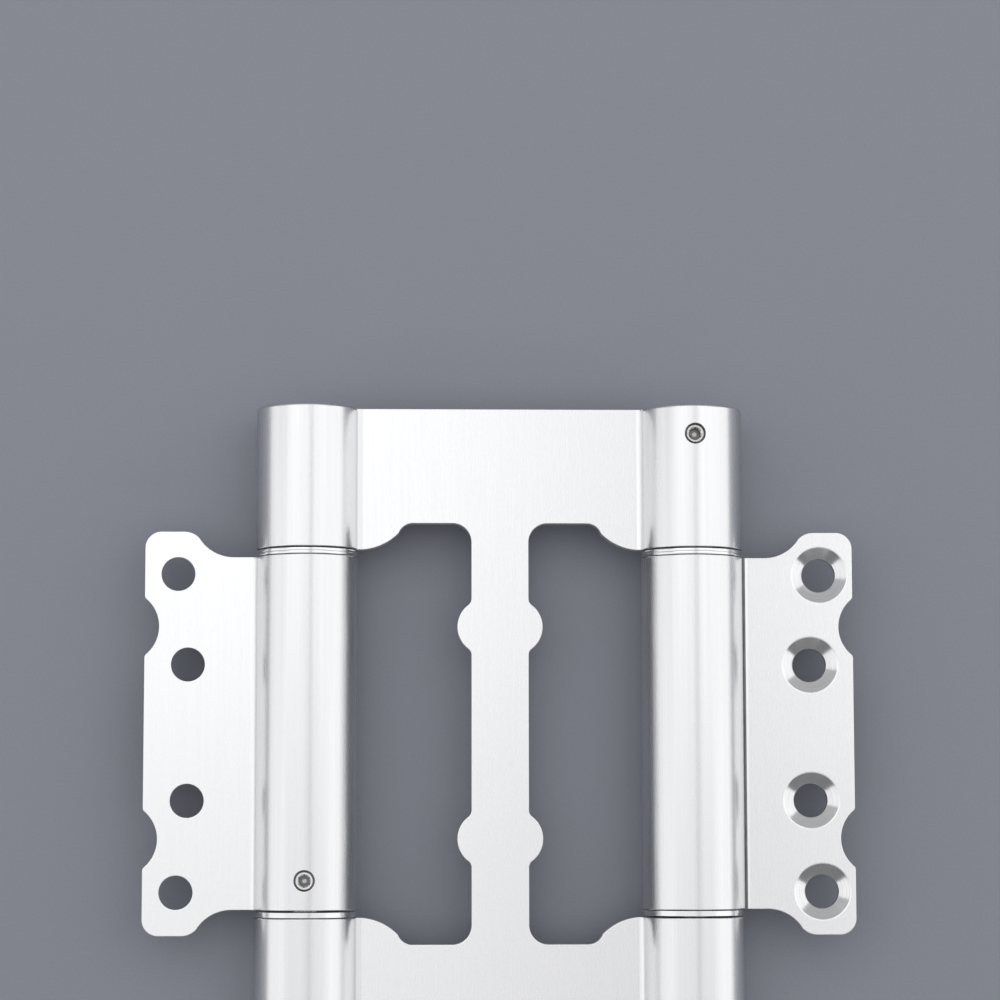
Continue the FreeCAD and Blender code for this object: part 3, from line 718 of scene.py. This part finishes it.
UPPER_WASHER_BORE = 4.3 * MM
LOWER_WASHER_BORE = 3.23 * MM

for name, side in SIDES:
    for place, bore, slide in (("upper", UPPER_WASHER_BORE, UPPER_SLIDE),
                               ("middle", UPPER_WASHER_BORE, MIDDLE_SLIDE),
                               ("lower", LOWER_WASHER_BORE, 0)):
        node_name = f"{name}_{place}_washer"
        washer = ring_like(f"{name}_{place}_ring", node_name, bore)
        break_edges(washer, WASHER_EDGE)
        washer.location.y = -slide
        stand(washer, barrel_x * side)
        washer.data.materials.append(WASHER_STEEL)
        stands_for(washer, node_name)

# Set screws lock the plugs in their knuckles: M4, stainless, threaded all along, each with a
# hexagon socket and a flat tip. Two face the front and two the back.
THREAD_PITCH = 0.7 * MM
THREAD_DEPTH = 0.3 * MM
THREAD_CREST = 0.1 * MM
SCREW_EDGE = 0.32 * MM
SCREW_STEPS = 64
SCREW_SOCKET = 1.8 * MM
SCREW_KEY = 2.0 * MM
SOCKET_MOUTH = 0.3 * MM
PILOT_RADIUS = 0.42 * MM
DRILL_POINT = math.radians(118)
# Indices of the faces that get painted shade: the socket's and the thread's.
SOCKET_SHADE_FACE, THREAD_SHADE_FACE = 1, 2
PATCH_GRAIN = (0.4 * MM, 0.4 * MM, 0.4 * MM)


def hexagon(name, across_flats, bottom, top):
    """A hexagon bar along Z with two flats facing along Y, to cut a key's socket."""
    corner_radius = across_flats / math.sqrt(3)
    bpy.ops.object.select_all(action="DESELECT")
    bpy.ops.mesh.primitive_cylinder_add(vertices=6, radius=corner_radius, depth=top - bottom,
                                        location=(0, 0, (bottom + top) / 2), rotation=(0, 0, math.pi / 6))
    bar = bpy.context.object
    bar.name = name
    bpy.ops.object.transform_apply(location=True, rotation=True)
    return bar


def make_set_screw(name, length, radius):
    """A set screw along Z with its socket's mouth at height 0. Its thread is cut as rings."""
    profile = [(0, -length), (radius - SCREW_EDGE, -length)]
    crest = SCREW_EDGE - length
    while crest + THREAD_CREST < -SCREW_EDGE:
        profile += [(radius, crest), (radius, crest + THREAD_CREST),
                    (radius - THREAD_DEPTH, crest + (THREAD_PITCH + THREAD_CREST) / 2)]
        crest += THREAD_PITCH
    profile += [(radius - SCREW_EDGE, 0), (0, 0)]
    body = turned(name, profile, along=UP, steps=SCREW_STEPS)
    point = -SCREW_SOCKET - PILOT_RADIUS / math.tan(DRILL_POINT / 2)
    drill = turned("drill", [(0, point), (PILOT_RADIUS, -SCREW_SOCKET),
                             (PILOT_RADIUS, -SOCKET_MOUTH), (SCREW_KEY / 2, -SOCKET_MOUTH),
                             (SCREW_KEY / 2 + SOCKET_MOUTH * 2, SOCKET_MOUTH), (0, SOCKET_MOUTH)],
                   along=UP, steps=DRILL_STEPS)
    cut(body, drill)
    cut(body, hexagon("socket", SCREW_KEY, -SCREW_SOCKET, length))
    smooth(body)
    # Painted shade: the socket's faces get the darkest steel, and the thread and its chamfer a darker
    # one, for the shadow down the socket and in the gap round the screw.
    for face in body.data.polygons:
        from_axis, height = math.hypot(face.center.x, face.center.y), face.center.z
        if from_axis < SCREW_KEY / math.sqrt(3) and -SCREW_SOCKET - WELD < height < -WELD:
            face.material_index = SOCKET_SHADE_FACE
        elif from_axis > radius - SCREW_EDGE or point < height < -SCREW_SOCKET:
            face.material_index = THREAD_SHADE_FACE
    return body


def patches(tree):
    """Faint patches, as on a small part that was only pressed and tumbled."""
    return grain(tree, PATCH_GRAIN, detail=4.0)


def screw_steel(name, colour, roughness):
    """The screws' steel, in the look that one of their faces has."""
    return metal(name, colour, patches, shade=(0.85, 1.08), roughness=roughness, depth=0.006 * MM)


# The face's steel is the screw's own colour. The socket's and the thread's darker steels are painted
# shade.
SCREW_FACE = screw_steel("set_screw_face", (0.78, 0.775, 0.77), roughness=(0.14, 0.24))
PAINTED_SOCKET_SHADE = screw_steel("set_screw_socket", (0.2, 0.195, 0.19), roughness=(0.25, 0.4))
PAINTED_THREAD_SHADE = screw_steel("set_screw_painted_thread_shade", (0.52, 0.515, 0.51), roughness=(0.2, 0.32))

for name, side in SIDES:
    for place, y, facing in (("upper", upper_screw_y, side), ("lower", lower_screw_y, -side)):
        low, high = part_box(f"{name}_{place}_set_screw")
        screw = make_set_screw(f"{name}_{place}_grub_screw", high.z - low.z, (high.x - low.x) / 2)
        only(screw)
        screw.rotation_euler.x = 0 if facing > 0 else math.pi
        screw.location = (barrel_x * side, y, max(high.z, -low.z) * facing)
        bpy.ops.object.transform_apply(location=True, rotation=True)
        for finish in (SCREW_FACE, PAINTED_SOCKET_SHADE, PAINTED_THREAD_SHADE):
            screw.data.materials.append(finish)
        stands_for(screw, f"{name}_{place}_set_screw")

# Turned steel plugs close the barrels. The tension plug at the top winds the spring with a hex
# key, the spring anchor holds its lower end in the leaf's knuckle, and the bottom pivot carries
# the leaf. Brass bushes run between them.
PLUG_EDGE = 0.6 * MM
TURNED_EDGE = 0.12 * MM
NECK_RADIUS = 4.0 * MM
GROOVE_HALF = 2.2 * MM
GROOVE_RADIUS = 6.05 * MM
TENSION_KEY = 5.0 * MM
TENSION_SOCKET = 8.0 * MM
TANG_HEIGHT = 2.6 * MM
TANG_WIDTH = 1.8 * MM
TANG_GAP = 0.15 * MM
ANCHOR_BODY = 8.8 * MM
ANCHOR_BORE = 4.55 * MM
ANCHOR_BORE_DEPTH = 7.5 * MM
SPIGOT_RADIUS = 2.93 * MM
UPPER_BUSH_BORE = 4.07 * MM
LOWER_BUSH_BORE = 3.0 * MM

spring_low, spring_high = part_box("right_torsion_spring")

TURNED_STEEL = turned_metal("turned_steel", (0.62, 0.62, 0.63), roughness=(0.34, 0.22),
                            spacing=0.1 * MM, depth=0.004 * MM)
BUSH_BRASS = turned_metal("oiled_brass", (0.66, 0.46, 0.24), roughness=(0.42, 0.28),
                          spacing=0.14 * MM, depth=0.004 * MM)


def cut_slot(piece, bottom, top):
    """A slot for the spring's tang, right across the barrel along X."""
    slot_size = (barrel_radius * 2, top - bottom, TANG_WIDTH + TANG_GAP * 2)
    bpy.ops.object.select_all(action="DESELECT")
    bpy.ops.mesh.primitive_cube_add(size=1, location=(0, (bottom + top) / 2, 0), scale=slot_size)
    cut(piece, bpy.context.object)


def make_tension_plug(name, low, high):
    """A plug with a key's socket in its end, a groove for its set screw and a slotted neck."""
    radius = (high.z - low.z) / 2
    groove_low, groove_high = upper_screw_y - GROOVE_HALF, upper_screw_y + GROOVE_HALF
    plug = turned(name, [(0, low.y), (NECK_RADIUS, low.y), (NECK_RADIUS, window_start),
                         (radius, window_start), (radius, groove_low), (GROOVE_RADIUS, groove_low),
                         (GROOVE_RADIUS, groove_high), (radius, groove_high),
                         (radius, high.y - PLUG_EDGE), (radius - PLUG_EDGE, high.y), (0, high.y)])
    socket = hexagon("socket", TENSION_KEY, -high.y - TENSION_SOCKET, -high.y + TENSION_SOCKET)
    socket.rotation_euler.x = math.pi / 2
    cut(plug, socket)
    cut_slot(plug, low.y - TANG_HEIGHT, spring_high.y + TANG_GAP)
    return plug


def make_spring_anchor(name, low, high):
    """A bored plug with a slotted boss, and a dimple at the back for the leaf's set screw."""
    radius = (high.z - low.z) / 2
    shoulder = low.y + ANCHOR_BODY
    bore_end = low.y + ANCHOR_BORE_DEPTH
    anchor = turned(name, [(ANCHOR_BORE, low.y), (radius, low.y), (radius, shoulder),
                           (NECK_RADIUS, shoulder), (NECK_RADIUS, high.y), (0, high.y),
                           (0, bore_end), (ANCHOR_BORE, bore_end), (ANCHOR_BORE, low.y)])
    cut_slot(anchor, spring_low.y - TANG_GAP, high.y + TANG_HEIGHT)
    dimple = turned("dimple", [(0, -barrel_radius), (GROOVE_HALF, -barrel_radius),
                               (GROOVE_HALF, -GROOVE_RADIUS), (0, -GROOVE_RADIUS)],
                    along=UP, steps=DRILL_STEPS)
    dimple.location.y = lower_screw_y
    cut(anchor, dimple)
    return anchor


def make_bottom_pivot(name, low, high):
    """A plug with a spigot that the leaf turns on."""
    radius = (high.z - low.z) / 2
    return turned(name, [(0, low.y), (radius - PLUG_EDGE, low.y), (radius, low.y + PLUG_EDGE),
                         (radius, -window_start), (SPIGOT_RADIUS, -window_start),
                         (SPIGOT_RADIUS, high.y - PLUG_EDGE), (SPIGOT_RADIUS - PLUG_EDGE, high.y),
                         (0, high.y)])


for name, side in SIDES:
    for part, new_name, make in (("tension_plug", "winding_plug", make_tension_plug),
                                 ("spring_anchor", "anchor_plug", make_spring_anchor),
                                 ("bottom_pivot", "pivot_plug", make_bottom_pivot)):
        plug = make(f"{name}_{new_name}", *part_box(f"{name}_{part}"))
        break_edges(plug, TURNED_EDGE)
        stand(plug, barrel_x * side, turned_over=side < 0)
        plug.data.materials.append(TURNED_STEEL)
        stands_for(plug, f"{name}_{part}")
    for place, bore in (("upper", UPPER_BUSH_BORE), ("lower", LOWER_BUSH_BORE)):
        bush = ring_like(f"{name}_{place}_sleeve", f"{name}_{place}_bush", bore)
        break_edges(bush, TURNED_EDGE)
        stand(bush, barrel_x * side)
        bush.data.materials.append(BUSH_BRASS)
        stands_for(bush, f"{name}_{place}_bush")

# The torsion spring closes the door. It is wound from flat spring steel wire, turn against
# turn, and its two ends cross the barrel to sit in the slots of the plug and the anchor. The
# leaf winds it up, so it twists from the web's end to the leaf's end.
COIL_GAP = 0.05 * MM
COIL_STEPS = 40
COIL_EDGE = 0.18 * MM
TANG_REACH = 3.0 * MM
WIRE_LINE = 0.35 * MM


def wire_lines(tree):
    """Faint lines from the drawing of the wire, round the coil."""
    return turning_lines(tree, WIRE_LINE)


SPRING_STEEL = metal("oil_tempered_wire", (0.16, 0.155, 0.15), wire_lines, shade=(0.8, 1.15),
                     roughness=(0.45, 0.32), depth=0.01 * MM)


def make_tang(bottom):
    """A bar of wire from the middle of the coil's wire to just past the barrel's axis."""
    reach = spring_high.z - TANG_WIDTH / 2
    middle = ((reach - TANG_REACH) / 2, bottom + TANG_HEIGHT / 2, 0)
    bpy.ops.object.select_all(action="DESELECT")
    bpy.ops.mesh.primitive_cube_add(size=1, location=middle,
                                    scale=(reach + TANG_REACH, TANG_HEIGHT, TANG_WIDTH))
    tang = bpy.context.object
    edit(tang)
    bpy.ops.mesh.select_all(action="SELECT")
    bpy.ops.mesh.bevel(offset=COIL_EDGE, segments=2)
    bpy.ops.object.mode_set(mode="OBJECT")
    return tang


def make_spring(name):
    """The coil, one wire section screwed up round the barrel, with a tang at each end."""
    outer = spring_high.z
    inner = outer - TANG_WIDTH
    bottom, top = spring_low.y, spring_high.y - TANG_HEIGHT
    turns = math.floor((top - bottom) / (TANG_HEIGHT + COIL_GAP))
    pen = Pen(name, ACROSS, ALONG, Vector(), (inner, bottom))
    for corner in ((outer, bottom), (outer, bottom + TANG_HEIGHT), (inner, bottom + TANG_HEIGHT),
                   (inner, bottom)):
        pen.line_to(*corner)
    bpy.ops.mesh.select_all(action="SELECT")
    bpy.ops.mesh.remove_doubles(threshold=WELD)
    bpy.ops.mesh.bevel(offset=COIL_EDGE, segments=2, affect="VERTICES")
    bpy.ops.object.mode_set(mode="OBJECT")
    coil = pen.piece
    apply_modifier(coil, "SCREW", axis="Y", angle=math.tau * turns, screw_offset=top - bottom,
                   steps=COIL_STEPS * turns, render_steps=COIL_STEPS * turns, use_merge_vertices=False)
    edit(coil)
    bpy.ops.mesh.select_mode(type="VERT")
    bpy.ops.mesh.select_non_manifold(extend=False, use_wire=False, use_multi_face=False,
                                     use_non_contiguous=False, use_verts=False)
    bpy.ops.mesh.edge_face_add()
    bpy.ops.object.mode_set(mode="OBJECT")
    weld(coil)
    for tang_bottom in (bottom, top):
        tang = make_tang(tang_bottom)
        apply_modifier(coil, "BOOLEAN", operation="UNION", solver="EXACT", object=tang)
        bpy.data.objects.remove(tang)
    smooth(coil)
    return coil


for name, side in SIDES:
    spring = make_spring(f"{name}_coil")
    stand(spring, barrel_x * side, turned_over=side < 0)
    spring.data.materials.append(SPRING_STEEL)
    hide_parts(f"{name}_torsion_spring")
    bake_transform(spring)

# The hinge lies open on a pale grey board in a tent of soft panels: a roof that is brighter
# at the back, two side walls, a dimmer back and a high strip in front. The camera looks down
# on the hinge's upper half, and beside it a dim slit divides the roof.
CAMERA_PLACE = Vector((-21.79, -18.83, 606.17)) * MM
CAMERA_PITCH = math.radians(6.072)
CAMERA_YAW = math.radians(-2.066)
CAMERA_ROLL = math.radians(-0.08)
LENS = 111.6
NEAREST_SEEN = 0.01

camera = bpy.data.objects.new("camera", bpy.data.cameras.new("camera"))
bpy.context.scene.collection.objects.link(camera)
camera.location = CAMERA_PLACE
camera.rotation_mode = "ZXY"
camera.rotation_euler = (CAMERA_PITCH, CAMERA_YAW, CAMERA_ROLL)
camera.data.lens = LENS
camera.data.clip_start = NEAREST_SEEN
bpy.context.scene.camera = camera
bpy.context.scene.view_settings.view_transform = "Standard"


def soft_light(name, place, target, width, height, radiance):
    """A soft box of this size and brightness that faces its target."""
    lamp = bpy.data.lights.new(name, "AREA")
    lamp.shape = "RECTANGLE"
    lamp.size = width
    lamp.size_y = height
    lamp.energy = radiance * math.pi * width * height
    box = bpy.data.objects.new(name, lamp)
    bpy.context.scene.collection.objects.link(box)
    box.location = place
    box.rotation_euler = (target - place).to_track_quat("-Z", "Y").to_euler()
    box.visible_camera = False


ROOF_HEIGHT = 0.9
ROOF_HALF = 0.95
ROOF_FRONT, ROOF_MIDDLE, ROOF_BACK = -0.5, 0.03, 1.0
FRONT_ROOF_GLOW, BACK_ROOF_GLOW = 0.725, 1.065
RIGHT_WALL, RIGHT_WALL_GLOW = (-0.42, 0.57), 1.0
LEFT_WALL, LEFT_WALL_GLOW = (-0.8, 0.3), 0.9
BACK_GLOW = 0.28
SLIT_PLACE, SLIT_WIDTH, SLIT_GLOW = 0.122, 0.08, 0.22
STRIP_PLACE, STRIP_BOTTOM = -0.95, 0.6
STRIP_LEFT, STRIP_RIGHT, STRIP_GLOW = -0.2, 0.95, 0.9

for name, side, (wall_front, wall_back), wall_glow in (("right", 1, RIGHT_WALL, RIGHT_WALL_GLOW),
                                                      ("left", -1, LEFT_WALL, LEFT_WALL_GLOW)):
    near = SLIT_PLACE + side * SLIT_WIDTH / 2
    far = ROOF_HALF * side
    for row, front, back, glow in (("front", ROOF_FRONT, ROOF_MIDDLE, FRONT_ROOF_GLOW),
                                   ("back", ROOF_MIDDLE, ROOF_BACK, BACK_ROOF_GLOW)):
        roof = Vector(((near + far) / 2, (front + back) / 2, ROOF_HEIGHT))
        soft_light(f"{name}_{row}_roof_light", roof, roof - UP, abs(far - near), back - front, glow)
    for row, front, back, glow in (("front", wall_front, wall_back, wall_glow),
                                   ("back", wall_back, ROOF_BACK, BACK_GLOW)):
        wall = Vector((far, (front + back) / 2, ROOF_HEIGHT / 2))
        soft_light(f"{name}_{row}_wall_light", wall, wall - ACROSS * side, back - front,
                   ROOF_HEIGHT, glow)
slit = Vector((SLIT_PLACE, (ROOF_FRONT + ROOF_BACK) / 2, ROOF_HEIGHT))
soft_light("slit_light", slit, slit - UP, SLIT_WIDTH, ROOF_BACK - ROOF_FRONT, SLIT_GLOW)
strip = Vector(((STRIP_LEFT + STRIP_RIGHT) / 2, STRIP_PLACE, (STRIP_BOTTOM + ROOF_HEIGHT) / 2))
soft_light("front_light", strip, strip + ALONG, STRIP_RIGHT - STRIP_LEFT,
           ROOF_HEIGHT - STRIP_BOTTOM, STRIP_GLOW)
back_wall = Vector((0, ROOF_BACK, ROOF_HEIGHT / 2))
soft_light("back_light", back_wall, back_wall - ALONG, ROOF_HALF * 2, ROOF_HEIGHT, BACK_GLOW)

ROOM_LIGHT = (0.22, 0.22, 0.23, 1)

world = bpy.data.worlds.new("studio")
world.use_nodes = True
world.node_tree.nodes["Background"].inputs["Color"].default_value = ROOM_LIGHT
bpy.context.scene.world = world

BOARD_SIZE = 6.0
BOARD_COLOUR = (0.238, 0.25, 0.293)
BOARD_SHADE = (0.95, 1.03)
BOARD_ROUGHNESS = 0.45
BOARD_GRAIN = (0.5 * MM, 0.5 * MM, 0.5 * MM)
BOARD_TOOTH = 0.05 * MM


def board():
    """A pale grey board with a fine even tooth."""
    material = bpy.data.materials.new("pale_board")
    material.use_nodes = True
    tree = material.node_tree
    surface = tree.nodes["Principled BSDF"]
    speckle = grain(tree, BOARD_GRAIN, detail=3.0)
    colour = tinted(tree, BOARD_COLOUR, spread(tree, speckle, BOARD_SHADE))
    tree.links.new(colour, surface.inputs["Base Color"])
    surface.inputs["Roughness"].default_value = BOARD_ROUGHNESS
    relief = node(tree, "ShaderNodeBump", {"Height": speckle, "Distance": BOARD_TOOTH, "Strength": 0.5})
    tree.links.new(relief.outputs["Normal"], surface.inputs["Normal"])
    return material


bpy.ops.object.select_all(action="DESELECT")
bpy.ops.mesh.primitive_plane_add(size=BOARD_SIZE, location=(0, 0, web_low.z))
table = bpy.context.object
table.name = "table"
bpy.ops.object.transform_apply(location=True)
table.data.materials.append(board())
